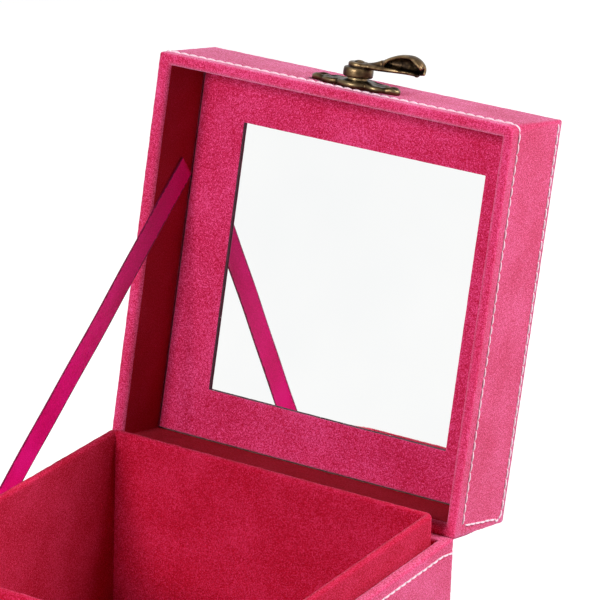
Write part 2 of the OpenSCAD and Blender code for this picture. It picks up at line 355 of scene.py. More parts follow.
def pile_material(name, deep, mid, light, grain, sheen):
    """Napped cloth: a fine pile with brushed patches, matt, with a painted highlight on convex edges and painted
    shade in hollows.
    """
    material, nodes, links, shader = node_material(name)
    coords = object_coords(nodes)
    fine = noise_node(nodes, links, coords, grain, 2.0, 0.7)
    clump = noise_node(nodes, links, coords, grain * 0.5, 2.0, 0.6)
    brushed = noise_node(nodes, links, coords, 55.0, 3.0, 0.55)
    mixed = weighted_sum(nodes, links, [(fine, 0.58), (clump, 0.26), (brushed, 0.16)])
    # Pointiness lightens the colour and raises the sheen on convex edges as a painted highlight, and darkens
    # hollows as painted shade.
    shade = math_node(nodes, links, "ADD", mixed, raised_edge(nodes, links, 0.5))
    darkest, lightest = 0.38, 0.62
    colour = ramp_node(nodes, links, shade, [(darkest, deep), (0.5, mid), (lightest, light)])
    links.new(colour, shader.inputs["Base Color"])
    shader.inputs["Roughness"].default_value = 0.95
    shader.inputs["Specular IOR Level"].default_value = 0.1
    sheen_with_painted_edge_light = range_node(nodes, links, shade, *sheen, darkest, lightest)
    links.new(sheen_with_painted_edge_light, shader.inputs["Sheen Weight"])
    shader.inputs["Sheen Roughness"].default_value = 0.6
    shader.inputs["Sheen Tint"].default_value = (1.0, 0.60, 0.90, 1)
    add_bump(nodes, links, shader, mixed, 0.7, 0.25 * MM)
    return material


def thread_material():
    material, nodes, links, shader = node_material("thread")
    twist = noise_node(nodes, links, object_coords(nodes), 3800.0, 2.0, 0.6)
    colour = ramp_node(nodes, links, twist, [(0.3, (0.82, 0.48, 0.60)), (0.6, (0.97, 0.78, 0.87))])
    links.new(colour, shader.inputs["Base Color"])
    shader.inputs["Roughness"].default_value = 0.6
    shader.inputs["Sheen Weight"].default_value = 0.3
    add_bump(nodes, links, shader, twist, 0.4, 0.1 * MM)
    return material


def satin_material(name, dark, mid, light):
    material, nodes, links, shader = node_material(name)
    coords = object_coords(nodes)
    weave = noise_node(nodes, links, coords, 2600.0, 2.0, 0.5)
    cloud = noise_node(nodes, links, coords, 60.0, 2.0, 0.5)
    mixed = weighted_sum(nodes, links, [(weave, 0.6), (cloud, 0.4)])
    colour = ramp_node(nodes, links, mixed, [(0.35, dark), (0.52, mid), (0.7, light)])
    links.new(colour, shader.inputs["Base Color"])
    shader.inputs["Roughness"].default_value = 0.55
    shader.inputs["Specular IOR Level"].default_value = 0.25
    shader.inputs["Specular Tint"].default_value = (1.0, 0.45, 0.75, 1)
    shader.inputs["Anisotropic"].default_value = 0.5
    add_bump(nodes, links, shader, weave, 0.25, 0.08 * MM)
    return material


def edge_material():
    """Cut edge of the card round the window, stained dark."""
    material, nodes, links, shader = node_material("card_edge")
    fibre = noise_node(nodes, links, object_coords(nodes), 1800.0, 3.0, 0.6)
    stain = [(0.3, (0.035, 0.003, 0.012)), (0.7, (0.085, 0.006, 0.028))]
    links.new(ramp_node(nodes, links, fibre, stain), shader.inputs["Base Color"])
    shader.inputs["Roughness"].default_value = 0.9
    return material


def bronze_material(name, bright):
    """Antique bronze: dark in the hollows, rubbed golden on the raised edges."""
    material, nodes, links, shader = node_material(name)
    coords = object_coords(nodes)
    cloud = noise_node(nodes, links, coords, 330.0, 4.0, 0.6)
    speck = noise_node(nodes, links, coords, 1900.0, 3.0, 0.6)
    rub = raised_edge(nodes, links, 5.0)
    worn = math_node(nodes, links, "ADD", math_node(nodes, links, "MULTIPLY", cloud, 0.75), rub)
    tones = [(0.26, (0.035, 0.022, 0.014)), (0.44, (0.17, 0.105, 0.052)), (0.68, (0.50, 0.36, 0.19))]
    stops = [(at, tuple(bright * part for part in tone)) for at, tone in tones]
    links.new(ramp_node(nodes, links, worn, stops), shader.inputs["Base Color"])
    shader.inputs["Metallic"].default_value = 1.0
    links.new(range_node(nodes, links, speck, 0.24, 0.48), shader.inputs["Roughness"])
    add_bump(nodes, links, shader, speck, 0.18, 0.12 * MM)
    return material


def mirror_material():
    material, nodes, links, shader = node_material("mirror")
    haze = noise_node(nodes, links, object_coords(nodes), 25.0, 2.0, 0.5)
    colour = ramp_node(nodes, links, haze, [(0.3, (0.95, 0.96, 0.96)), (0.7, (0.98, 0.985, 0.98))])
    links.new(colour, shader.inputs["Base Color"])
    shader.inputs["Metallic"].default_value = 1.0
    shader.inputs["Roughness"].default_value = 0.015
    return material


def board_material():
    material, nodes, links, shader = node_material("board")
    fibre = noise_node(nodes, links, object_coords(nodes), 700.0, 5.0, 0.7)
    colour = ramp_node(nodes, links, fibre, [(0.3, (0.30, 0.24, 0.17)), (0.7, (0.48, 0.40, 0.30))])
    links.new(colour, shader.inputs["Base Color"])
    shader.inputs["Roughness"].default_value = 0.9
    add_bump(nodes, links, shader, fibre, 0.2, 0.1 * MM)
    return material


SUEDE = pile_material("suede", (0.42, 0.005, 0.034), (0.64, 0.014, 0.090), (0.88, 0.085, 0.29),
                      grain=3400.0, sheen=(0.15, 0.75))
# Darker, duller copy of the suede: painted shade for the lid's recessed inner faces.
SUEDE_PAINTED_SHADE = pile_material("suede_painted_shade", (0.26, 0.001, 0.006), (0.36, 0.002, 0.012),
                       (0.48, 0.010, 0.045), grain=3400.0, sheen=(0.0, 0.04))
VELVET = pile_material("velvet", (0.37, 0.003, 0.022), (0.58, 0.013, 0.084), (0.84, 0.085, 0.29),
                       grain=3300.0, sheen=(0.05, 0.45))
# Darker, duller copy of the velvet: painted shade for the liner walls and the floor pad inside the base.
VELVET_PAINTED_SHADE = pile_material("velvet_painted_shade", (0.32, 0.001, 0.009), (0.48, 0.002, 0.028),
                             (0.70, 0.030, 0.120), grain=3300.0, sheen=(0.0, 0.14))
THREAD = thread_material()
SATIN = satin_material("satin", (0.54, 0.002, 0.10), (0.73, 0.004, 0.18), (0.86, 0.012, 0.29))
SELVEDGE = satin_material("selvedge", (0.14, 0.002, 0.03), (0.20, 0.004, 0.05), (0.28, 0.008, 0.08))
CARD_EDGE = edge_material()
BRONZE = bronze_material("bronze", 0.62)
# Darker copy of the hook's bronze: painted shade for both latch plates.
PLATE_BRONZE_PAINTED_SHADE = bronze_material("plate_bronze_painted_shade", 0.29)
# Darkest copy of the bronze: painted shade on the faces inside the horn's hood.
BRONZE_PAINTED_SHADE = bronze_material("bronze_painted_shade", 0.16)
MIRROR = mirror_material()
BOARD = board_material()

# ---------------------------------------------------------------- CAD nodes that stay

SLOT_MATERIALS = {"suede": SUEDE, "velvet": VELVET, "thread": THREAD, "satin": SATIN,
                  "bronze": BRONZE, "mirror": MIRROR, "board": BOARD}


def dress_cad_nodes():
    """Gives each CAD node the material of its slot."""
    for node in frame["nodes"]:
        slot = next(s["material_slot"] for s in frame["record"]["subparts"] if s["node"] == node)
        held = frame["nodes"][node].data.materials
        held.clear()
        held.append(SLOT_MATERIALS[slot])


dress_cad_nodes()

# ---------------------------------------------------------------- suede shells

CORNER = 0.6 * MM
CORNERS = (CORNER,) * 4
RIM_CORNERS = (2.5 * MM, CORNER, CORNER, CORNER)
BASE_SEAM = 3.3 * MM
SEAM_RIM = 4.35 * MM
RIM_ROUND = 0.75 * MM
BASE_ROUND_IN = 0.9 * MM
LID_ROUND_IN = 1.9 * MM
HINGE_ROUND = 0.2


def tighten(piece, place):
    """Draws the suede flat into the edge at the hinge, where it isn't rounded as elsewhere."""
    back = place.inverted()
    for vertex in piece.data.vertices:
        p = back @ vertex.co
        inset = HALF_D - p.y
        if 0 < inset < RIM_ROUND:
            p.y = HALF_D - HINGE_ROUND * inset
            vertex.co = place @ p


def base_shell():
    tall = RIM_Z - base_low.z
    profile = rim_profile(tall, TURN_IN, WALL, RIM_ROUND, BASE_ROUND_IN, seam=BASE_SEAM)
    piece = suede_band("base_suede", lambda d: CORNERS, profile, lambda d: RIM_Z - d)
    tighten(piece, Matrix.Identity(4))
    nap(piece)
    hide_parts("base_wrap")
    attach(piece, "base")


def paint_shade_inside(piece, place):
    """Gives the lid's inner faces, between the rim and the mirror card, a darker copy of the suede as painted
    shade.
    """
    piece.data.materials.append(SUEDE_PAINTED_SHADE)
    back = place.inverted()
    inner_w = HALF_W - WALL + CARD_GAP
    inner_d = HALF_D - WALL + CARD_GAP
    for face in piece.data.polygons:
        p = back @ face.center
        if abs(p.x) < inner_w and abs(p.y) < inner_d and p.z > LID_RIM + LID_ROUND_IN:
            face.material_index = 1


def lid_shell():
    tall = BAND_TOP - LID_RIM
    profile = rim_profile(tall, FRAME_FACE - LID_RIM, WALL, RIM_ROUND, LID_ROUND_IN, seam=SEAM_RIM)

    def corners(depth):
        t = min(max(depth / tall, 0), 1)
        return tuple(a + (b - a) * t for a, b in zip(RIM_CORNERS, CORNERS))

    piece = suede_band("lid_suede", corners, profile, lambda d: LID_RIM + d, LID_MIDDLE)
    tighten(piece, LID_MIDDLE)
    paint_shade_inside(piece, LID_MIDDLE)
    nap(piece)
    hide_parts("lid_wrap")
    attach(piece, "lid")


def lid_top():
    """Top panel with a soft edge and a slight crown."""
    low, high = cover_low.z, cover_high.z
    thick = high - low
    square = 0.3 * thick
    section = [(0.0, low), (0.0, low + square)]
    section += rounded_edge(thick, low + square, thick - square)
    piece = crowned_pad("lid_top_panel", (HALF_W, HALF_D), section, high, crown=0.5 * MM,
                        spread=12 * MM, rows=36, step=1.6 * MM,
                        corner=lambda inset: max(CORNER - inset, LEAST_R),
                        material=SUEDE, place=LID_MIDDLE)
    nap(piece, 0.1 * MM)
    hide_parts("lid_top_cover")
    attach(piece, "lid")


base_shell()
lid_shell()
lid_top()

# ---------------------------------------------------------------- velvet liner, pad and mirror card

VELVET_NAP = 1.9 * MM
VELVET_R = 0.3 * MM


def liner_walls():
    """Four padded walls that meet in a mitre at each corner."""
    half_w = HALF_W - LINER_INSET
    half_d = HALF_D - LINER_INSET
    tall = LINER_TOP - LINER_BOTTOM
    step = 1.1 * MM
    soft = 1.15 * MM
    profile = rim_profile(tall, tall, LINER_T, soft, soft, step)
    loops = [level_loop((half_w, half_d), inset, LINER_TOP - depth, max(LINER_T - inset, VELVET_R), step)
             for inset, depth in profile]
    along_x = max(2, round(2 * half_w / step))
    along_y = max(2, round(2 * half_d / step))
    total = len(loops[0])
    middle = ARC_STEPS // 2
    at = 0
    for side, count in (("front", along_x), ("right", along_y), ("back", along_x), ("left", along_y)):
        columns = [i % total for i in range(at - middle, at + count + middle + 1)]
        at += count + ARC_STEPS
        part = [[loop[i] for i in columns] for loop in loops]
        verts, faces = skin(part, closed_round=False)
        wide, rows = len(columns), len(part)
        last = (rows - 1) * wide
        for i in range(wide - 1):
            faces.append((last + i, last + i + 1, i + 1, i))
        faces.append(tuple(j * wide for j in range(rows)))
        faces.append(tuple(j * wide + wide - 1 for j in range(rows)))
        # The walls take the darker copy of the velvet, painted shade.
        piece = new_object(f"liner_{side}_velvet", verts, faces, VELVET_PAINTED_SHADE)
        nap(piece, 0.14 * MM, VELVET_NAP, keep=lambda p: p.z > LINER_BOTTOM + MM)
        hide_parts(f"liner_{side}")
        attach(piece, "base")


def floor_cushion():
    low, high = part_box("floor_pad")
    edge = 1.6 * MM
    crown = 0.5 * MM
    top = high.z - crown
    tuck, skirt = 0.2 * MM, 0.6 * MM
    section = [(tuck, low.z), (0.0, low.z + skirt), (0.0, top - edge)]
    section += rounded_edge(edge, top - edge, edge)
    # The pad takes the darker copy of the velvet, painted shade.
    piece = crowned_pad("floor_velvet_pad", (high.x, high.y), section, top, crown,
                        spread=14 * MM, rows=35, step=1.4 * MM,
                        corner=lambda inset: max(1.2 * MM - inset, VELVET_R), material=VELVET_PAINTED_SHADE)
    nap(piece, 0.12 * MM, VELVET_NAP, keep=lambda p: p.z > low.z + MM)
    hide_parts("floor_pad")
    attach(piece, "base")


def mirror_card():
    """Velvet-covered card with a window whose edges roll in to the glass."""
    glass_low, glass_high = box_in("mirror_glass", LID)
    centre_x = (glass_low.x + glass_high.x) / 2
    lap = 6 * MM
    window_w = (glass_high.x - glass_low.x) / 2 - lap
    window_d = (glass_high.y - glass_low.y) / 2 - lap
    face, back = card_low.z, card_high.z
    half = (card_high.x, (card_high.y - card_low.y) / 2)
    step = 1.1 * MM
    roll = 1.2 * MM
    outer_r = 0.5 * MM
    inner_r = 0.35 * MM
    turned = 0.25 * MM
    eased = 0.07 * MM
    steps = 14

    def window_loop(grow, height):
        ring = rect_loop(window_w + grow, window_d + grow, inner_r, step, half)
        return [(x + centre_x, y, height) for x, y, _, _ in ring]

    outer = [(0.0, back), (0.0, face + roll), (0.08 * roll, face + 0.62 * roll),
             (0.3 * roll, face + 0.3 * roll), (0.62 * roll, face + 0.08 * roll), (roll, face)]
    rings = [level_loop(half, inset, height, outer_r, step) for inset, height in outer]
    first = rings[-1]
    last = window_loop(turned, face)
    for k in range(1, steps + 1):
        rings.append([tuple(a + (b - a) * k / steps for a, b in zip(p, q)) for p, q in zip(first, last)])
    rings.append(window_loop(eased, face + eased))
    rings.append(window_loop(0.0, face + turned))
    rings.append(window_loop(0.0, back))
    piece = new_object("mirror_velvet_card", *closed_skin(rings), VELVET, LID_MIDDLE)
    nap(piece, 0.06 * MM, VELVET_NAP)
    piece.data.materials.append(CARD_EDGE)
    cut_first = (len(rings) - 2) * len(rings[0])
    for side in piece.data.polygons:
        if min(side.vertices) >= cut_first:
            side.material_index = 1
    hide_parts("mirror_frame")
    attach(piece, "lid")


liner_walls()
floor_cushion()
mirror_card()

# ---------------------------------------------------------------- stitching

STITCH = 3.0 * MM
STITCH_GAP = 0.15 * MM
THREAD_R = 0.32 * MM
THREAD_SIDES = 8
STITCH_RINGS = 9


def walk(line):
    """For an open line of (point, normal): a function that finds both at a distance along it, its
    length, and how many stitches it takes.
    """
    pairs = list(zip(line, line[1:]))
    lengths = [(b[0] - a[0]).length for a, b in pairs]
    total = sum(lengths)
    pitch = STITCH + STITCH_GAP
    count = max(1, round(total / pitch))

    def at(s):
        s = min(max(s, 0), total)
        for (a, b), length in zip(pairs, lengths):
            if s <= length or (a, b) == pairs[-1]:
                t = min(s / length, 1) if length else 0
                return a[0].lerp(b[0], t), a[1].lerp(b[1], t).normalized()
            s -= length

    return at, total, count


def stitch(at, start, length, lift, side_step):
    """Rings of one stitch, a short twisted thread that dips into the suede at both ends."""
    ahead_by = 0.1 * MM
    end_share, arch_share = 0.72, 0.28
    arch_h, dip = 0.26 * MM, 0.06 * MM
    twist, ply_bulge = 2.2, 0.10
    rings = []
    for j in range(STITCH_RINGS):
        f = j / (STITCH_RINGS - 1)
        point, normal = at(start + f * length)
        ahead, _ = at(start + f * length + ahead_by)
        behind, _ = at(start + f * length - ahead_by)
        forward = (ahead - behind).normalized()
        across = normal.cross(forward).normalized()
        arch = math.sin(math.pi * f)
        radius = THREAD_R * (end_share + arch_share * arch)
        centre = point + normal * (arch_h * arch ** 0.5 - dip + lift) + across * side_step
        ring = []
        for i in range(THREAD_SIDES):
            turn = 2 * math.pi * i / THREAD_SIDES + twist * f
            bulge = 1 + ply_bulge * math.cos(3 * turn)
            ring.append(centre + (across * math.cos(turn) + normal * math.sin(turn)) * radius * bulge)
        rings.append(ring)
    return rings


def stitches(name, lines, seed, body, node):
    """Separate stitches along the lines, a little uneven in length and place."""
    chance = random.Random(seed)
    uneven, uneven_lift, uneven_side = 0.05, 0.02, 0.07
    verts, faces = [], []
    for line in lines:
        at, total, count = walk(line)
        pitch = total / count
        for k in range(count):
            length = STITCH * (1 + chance.uniform(-uneven, uneven))
            start = k * pitch + (pitch - length) / 2
            lift = chance.uniform(-uneven_lift, uneven_lift) * MM
            side_step = chance.uniform(-uneven_side, uneven_side) * MM
            base = len(verts)
            more_verts, more_faces = capped_skin(stitch(at, start, length, lift, side_step))
            verts += more_verts
            faces += [tuple(base + i for i in face) for face in more_faces]
    piece = new_object(name, verts, faces, THREAD)
    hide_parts(node)
    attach(piece, body)


SEAM_TOP = 2.45 * MM
SEAM_HINGE = 3.2 * MM
SEAM_DIP = 1.0 * MM
DIP_REACH = 4 * MM
ROUND_BACK = 4 * MM
LATCH_GAP = 9.5 * MM


def loop_between(first_y, height, place, corner):
    """Round the front from the left wall to the right one at one height, both ends at first_y."""
    ring = rect_loop(HALF_W, HALF_D, corner, step=1.0 * MM)
    kept = [p for p in ring if p[1] < first_y]
    kept.sort(key=lambda p: math.atan2(p[0], -p[1]))
    spin = place.to_3x3()
    return [(place @ Vector((x, y, height)), (spin @ Vector((nx, ny, 0))).normalized())
            for x, y, nx, ny in kept]


def base_stitching():
    """A seam below the rim that dips at the hinge and stops at both sides of the latch."""
    height = RIM_Z - BASE_SEAM
    front = loop_between(HALF_D + MM, height, Matrix.Identity(4), CORNERS)
    line = [(p, n) for p, n in front if abs(p.x) > HALF_W - ROUND_BACK or p.y < 0]
    for point, _ in line:
        point.z -= SEAM_DIP * math.exp(-max((HALF_D - point.y) / DIP_REACH, 0) ** 2)
    halves = []
    for side in (-1, 1):
        half = [q for q in line if side * q[0].x > LATCH_GAP or q[0].y > -HALF_D + MM and side * q[0].x > 0]
        halves.append(half)
    stitches("base_stitches", halves, 11, "base", "base_thread")


def panel_seam(low, high):
    """Seam that closes a side panel, as (y, height): up along the hinge, then forward along the top."""
    hinge_y = HALF_D - SEAM_HINGE
    lean = 1.3 * MM
    turn = 1.8 * MM
    foot = 0.2 * MM
    climb = high - low - turn
    climb_parts, top_parts = 12, 60
    path = [(hinge_y + foot + lean * i / climb_parts, low + climb * i / climb_parts)
            for i in range(1, climb_parts)]
    # The corner, as (distance behind the leaning end, drop from the top in turns)
    corner = [(0.9 * MM, 1.6), (0.5 * MM, 0.7), (-0.8 * MM, 0.15), (-2.2 * MM, 0)]
    path += [(hinge_y + lean + behind, high - drop * turn) for behind, drop in corner]
    top_y = path[-1][0]
    front_y = -HALF_D + 1.0 * MM
    return path + [(top_y + (front_y - top_y) * i / top_parts, high) for i in range(1, top_parts + 1)]


def lid_stitching():
    """A seam round the rim, and on each side wall one that closes its panel."""
    spin = LID_MIDDLE.to_3x3()
    low = LID_RIM + SEAM_RIM
    high = cover_high.z - SEAM_TOP
    lines = [loop_between(HALF_D - SEAM_HINGE, low, LID_MIDDLE, RIM_CORNERS)]
    for side in (-1, 1):
        out = (spin @ Vector((side, 0, 0))).normalized()
        lines.append([(LID_MIDDLE @ Vector((side * HALF_W, y, z)), out) for y, z in panel_seam(low, high)])
    stitches("lid_stitches", lines, 23, "lid", "lid_thread")


base_stitching()
lid_stitching()

# ---------------------------------------------------------------- ribbon and hinge


def stay():
    """Satin ribbon, taut between the walls, with a firmer and darker woven edge."""
    corners = {tuple(round(c, 6) for c in v.co) for v in frame["nodes"]["stay_ribbon"].data.vertices}
    corners = sorted((Vector(c) for c in corners), key=lambda p: p.y + p.z)
    aside = Vector((0, 0.3 * MM, 0))
    start = sum(corners[:4], Vector()) / 4 + aside
    end = sum(corners[-4:], Vector()) / 4 + aside
    along = (end - start).normalized()
    across = Vector((1, 0, 0)).cross(along).normalized()
    offsets = [(p - start).dot(across) for p in corners]
    width = max(offsets) - min(offsets)
    length = (end - start).length
    half_thick = 0.12 * MM
    selvedge_t = 0.05 * MM
    selvedge_in, selvedge_out = 0.86, 0.98
    cupped = 0.06 * MM
    # Slight waves along it, as (height, length for one radian, phase)
    waves = [(0.10 * MM, 13 * MM, 0), (0.05 * MM, 5.3 * MM, 1)]
    rows = 170
    edge_marks = [0.87, 0.93, 0.97, 1]
    marks = [-t for t in reversed(edge_marks)] + [-0.8 + 0.2 * i for i in range(9)] + edge_marks
    loops = []
    for j in range(rows + 1):
        s = length * j / rows
        wave = sum(high * math.sin(s / long + phase) for high, long, phase in waves)
        ring_a, ring_b = [], []
        for t in marks:
            woven = selvedge_t if selvedge_in < abs(t) < selvedge_out else 0.0
            centre = start + along * s + across * (t * width / 2) + Vector((wave + cupped * t * t, 0, 0))
            half = Vector((half_thick + woven, 0, 0))
            ring_a.append(centre + half)
            ring_b.append(centre - half)
        loops.append(ring_a + ring_b[::-1])
    piece = new_object("ribbon_stay", *capped_skin(loops), SATIN)
    piece.data.materials.append(SELVEDGE)
    for face in piece.data.polygons:
        if abs((face.center - start).dot(across)) > 0.9 * width / 2:
            face.material_index = 1
    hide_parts("stay_ribbon")
    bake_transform(piece)


def suede_hinge():
    """Strip that bends round the hinge line, in fine steps across the fold."""
    half_w = HALF_W - 0.4 * MM
    flap = 16 * MM
    thick = 0.6 * MM
    skive = 7 * MM
    skived_end = 0.2
    bend = 1.2 * MM
    drawn_in = 0.7
    flap_rows, bend_rows, columns = 12, 6, 60
    down = Vector((0, 0, -1))
    out = LID.to_3x3() @ Vector((0, 0, 1))
    base_face = Vector((0, 1, 0))
    lid_face = LID.to_3x3() @ base_face
    heights = [flap * i / flap_rows for i in range(flap_rows + 1)]
    line = [(HINGE + down * s, base_face) for s in reversed(heights) if s > bend]
    for i in range(bend_rows + 1):
        t = i / bend_rows
        face = base_face.lerp(lid_face, t).normalized()
        line.append((HINGE + (down * (bend * (1 - t)) + out * (bend * t)) * drawn_in, face))
    line += [(HINGE + out * s, lid_face) for s in heights if s > bend]
    loops = []
    for point, face in line:
        inner = [point + Vector((half_w * (2 * k / columns - 1), 0, 0)) for k in range(columns + 1)]
        full = min((flap - (point - HINGE).length) / skive, 1)
        outer = [p + face * thick * (skived_end + (1 - skived_end) * full) for p in inner]
        loops.append(inner + outer[::-1])
    piece = new_object("suede_hinge", *capped_skin(loops), SUEDE)
    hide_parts("hinge_strip")
    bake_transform(piece)


stay()
suede_hinge()

# ---------------------------------------------------------------- latch plates, in mm

PLATE_HOLE = 1.55
PLATE_BACK = 0.02
PLATE_RAYS = 144
PLATE_STEPS = 26


def far_hit(angle, circles):
    """How far a ray from the origin goes before it leaves the last of these circles."""
    ux, uy = math.cos(angle), math.sin(angle)
    best = 0.0
    for cx, cy, r in circles:
        along = cx * ux + cy * uy
        off = abs(cx * uy - cy * ux)
        if off < r:
            best = max(best, along + math.sqrt(r * r - off * off))
    return best


def relief(x, y, f, pins, thick, boss, ridge):
    """Height of a plate over the wall, where f is 0 at its hole and 1 at its border."""
    boss_w = 4.6
    scroll_h, scroll_w, scroll_start = 0.18, 4.0, 5
    scroll_pitch, scroll_bend, scroll_turn = 1.15, 2.4, 0.8
    lip_h, lip_r, lip_w = 0.25, 1.9, 0.45
    dish_h, dish_r = 0.6, 1.45
    ridge_at, ridge_w = 0.88, 0.07
    edge_at, edge_w, edge_fall = 0.95, 0.05, 0.2
    rho = math.hypot(x, y)
    h = thick + boss * math.exp(-(rho / boss_w) ** 2)
    scroll = math.sin(scroll_pitch * abs(x) + scroll_bend * math.cos(scroll_turn * y))
    scroll *= math.exp(-(y / scroll_w) ** 2)
    h += scroll_h * scroll * (1 - math.exp(-(rho / scroll_start) ** 4))
    for px in pins:
        d = math.hypot(x - px, y)
        h += lip_h * math.exp(-((d - lip_r) / lip_w) ** 2)
        h -= dish_h * math.exp(-(d / dish_r) ** 6)
    h += ridge * math.exp(-((f - ridge_at) / ridge_w) ** 2)
    return h * (1 - max(0, (f - edge_at) / edge_w) ** 2 * edge_fall)


def plate(name, node, body, place, circles, pins, thick, boss, ridge):
    """Stamped plate: a domed middle, a raised border and scrolls in low relief."""
    angles = [2 * math.pi * i / PLATE_RAYS for i in range(PLATE_RAYS)]
    radii = [far_hit(angle, circles) for angle in angles]
    eased = [(radii[i - 1] + 2 * radii[i] + radii[(i + 1) % PLATE_RAYS]) / 4 for i in range(PLATE_RAYS)]

    def ring(f, z=None):
        points = []
        for angle, border in zip(angles, eased):
            r = PLATE_HOLE + (border - PLATE_HOLE) * f
            x, y = r * math.cos(angle), r * math.sin(angle)
            h = relief(x, y, f, pins, thick, boss, ridge) if z is None else z
            points.append((x * MM, y * MM, h * MM))
        return points

    loops = [ring(0, PLATE_BACK)]
    loops += [ring(k / PLATE_STEPS) for k in range(PLATE_STEPS + 1)]
    loops.append(ring(1, PLATE_BACK))
    # Both plates take the darker copy of the bronze, painted shade.
    piece = new_object(name, *closed_skin(loops), PLATE_BRONZE_PAINTED_SHADE, place)
    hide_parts(node)
    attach(piece, body)


# Outlines as circles of (x, y, radius)
LID_PLATE = [(0, 0, 6.2), (7, 0, 4.4), (-7, 0, 4.4), (12.3, 0, 2.3), (-12.6, 0, 2.4)]
KEEPER_PLATE = [(0, 0, 5), (4, 0, 3.4), (-4, 0, 3.4), (6.5, 0, 2.2), (-6.5, 0, 2.2)]
plate("latch_plate_ornate", "latch_plate", "lid", LATCH, LID_PLATE, (-12, 12),
      thick=1.6, boss=1.2, ridge=0.25)
plate("keeper_plate_ornate", "keeper_plate", "base", KEEPER, KEEPER_PLATE, (-6, 6),
      thick=1.2, boss=0.6, ridge=0.15)

# ---------------------------------------------------------------- hook, in mm in its own frame

# Turned rings, as (radius, height)
EYE = [(1.6, 3.15), (1.9, 3.05), (4.1, 3.05), (4.42, 3.3), (4.5, 3.8), (4.5, 5.2), (4.38, 5.75),
       (4.0, 6.0), (2.3, 6.05), (1.6, 6.0)]
EYE_TOP = [(1.55, 5.8), (2.6, 5.8), (3.1, 6.1), (3.35, 6.7), (3.2, 7.3), (2.8, 7.55), (1.55, 7.6)]

# Bars, as (reach, side, height, radius)
ROOT = [(2.2, 0, 6.75, 2.6), (4.2, 0, 6.9, 2.2), (6.0, 0, 7.2, 1.6), (7.5, 0.1, 7.9, 1.15)]
NECK = [(3.0, 0.1, 7.0, 0.9), (5.0, 0.1, 7.3, 1.0), (7.0, 0.1, 7.9, 1.05), (9.0, 0.1, 8.7, 1.1)]
PRONG = [(3.5, -0.5, 6.9, 1.3), (7, -0.6, 7.05, 1.15), (11, -0.2, 7.25, 1.0), (14, 0.6, 7.45, 0.95),
         (16.5, 1.9, 7.5, 0.9), (18.8, 2.75, 7.5, 0.9), (20.8, 2.3, 7.5, 0.9), (21.6, 1.0, 7.5, 0.85),
         (21.6, 0.3, 7.5, 0.6)]

# Hood of the horn: reach, height of its axis, radius, start and end of its arc in degrees
HOOD = [
    (6.5, 7.6, 1.0, -90, 270),
    (8.8, 8.6, 1.15, -60, 262),
    (11.0, 9.2, 1.7, 40, 252),
    (14.2, 9.5, 2.7, 62, 224),
    (17.0, 9.6, 3.3, 66, 222),
    (19.8, 9.7, 3.4, 64, 220),
    (21.6, 9.6, 3.1, 56, 218),
    (22.9, 9.5, 2.6, 46, 218),
    (23.8, 9.4, 2.0, 40, 218),
    (24.3, 9.3, 1.4, 30, 220),
]
HOOD_T = 0.85
HOOD_SIDE = 0.5
BEAD_R = 0.5
VOXEL = 0.2


def tube(points, radii, sides=16, flat=1.0):
    """Closed tube along points, as (verts, faces)."""
    side = Vector((0, 1, 0))
    loops = []
    for j, (p, r) in enumerate(zip(points, radii)):
        a = points[max(j - 1, 0)]
        b = points[min(j + 1, len(points) - 1)]
        top = (b - a).normalized().cross(side).normalized()
        turns = [2 * math.pi * i / sides for i in range(sides)]
        loops.append([p + side * math.cos(t) * r + top * math.sin(t) * r * flat for t in turns])
    return capped_skin(loops)


def spline(knots, parts):
    """Catmull-Rom points through knots of any width."""
    padded = [knots[0]] + list(knots) + [knots[-1]]
    out = []
    for k in range(len(knots) - 1):
        p0, p1, p2, p3 = padded[k:k + 4]
        for i in range(parts):
            t = i / parts
            out.append(tuple(
                0.5 * (2 * b + (c - a) * t + (2 * a - 5 * b + 4 * c - d) * t * t
                       + (3 * b - a - 3 * c + d) * t ** 3)
                for a, b, c, d in zip(p0, p1, p2, p3)))
    out.append(tuple(knots[-1]))
    return out


def bar(knots, flat=1.0):
    """Round or flattened bar through knots of (x, y, z, radius)."""
    points = spline(knots, 6)
    return tube([Vector(p[:3]) for p in points], [p[3] for p in points], flat=flat)


def add_part(shape, verts, faces):
    made = [shape.verts.new(v) for v in verts]
    for face in faces:
        shape.faces.new([made[i] for i in face])


def lathe_ring(section, sides=64):
    """Ring turned about z from a closed section of (radius, height)."""
    turns = [2 * math.pi * i / sides for i in range(sides)]
    return closed_skin([[Vector((r * math.cos(t), r * math.sin(t), z)) for t in turns] for r, z in section])


def hood_point(x, z, r, angle):
    t = math.radians(angle)
    return Vector((x, HOOD_SIDE - r * math.cos(t), z + r * math.sin(t)))


def hood_wall(r):
    """Thickness of the hood where its radius is r."""
    return min(HOOD_T, r * 0.8)


def add_hood(shape):
    """The horn's hood, an open shell with a bead along both edges of its opening."""
    rings = spline(HOOD, 5)
    arc_parts = 22
    loops = []
    for x, z, r, first, last in rings:
        angles = [first + (last - first) * i / arc_parts for i in range(arc_parts + 1)]
        outer = [hood_point(x, z, r, angle) for angle in angles]
        inner = [hood_point(x, z, r - hood_wall(r), angle) for angle in angles]
        loops.append(outer + inner[::-1])
    add_part(shape, *capped_skin(loops))
    for edge in (0, 1):
        bead = [hood_point(x, z, r - hood_wall(r) / 2, ends[edge]) for x, z, r, *ends in rings]
        add_part(shape, *tube(bead, [BEAD_R] * len(bead), sides=12))


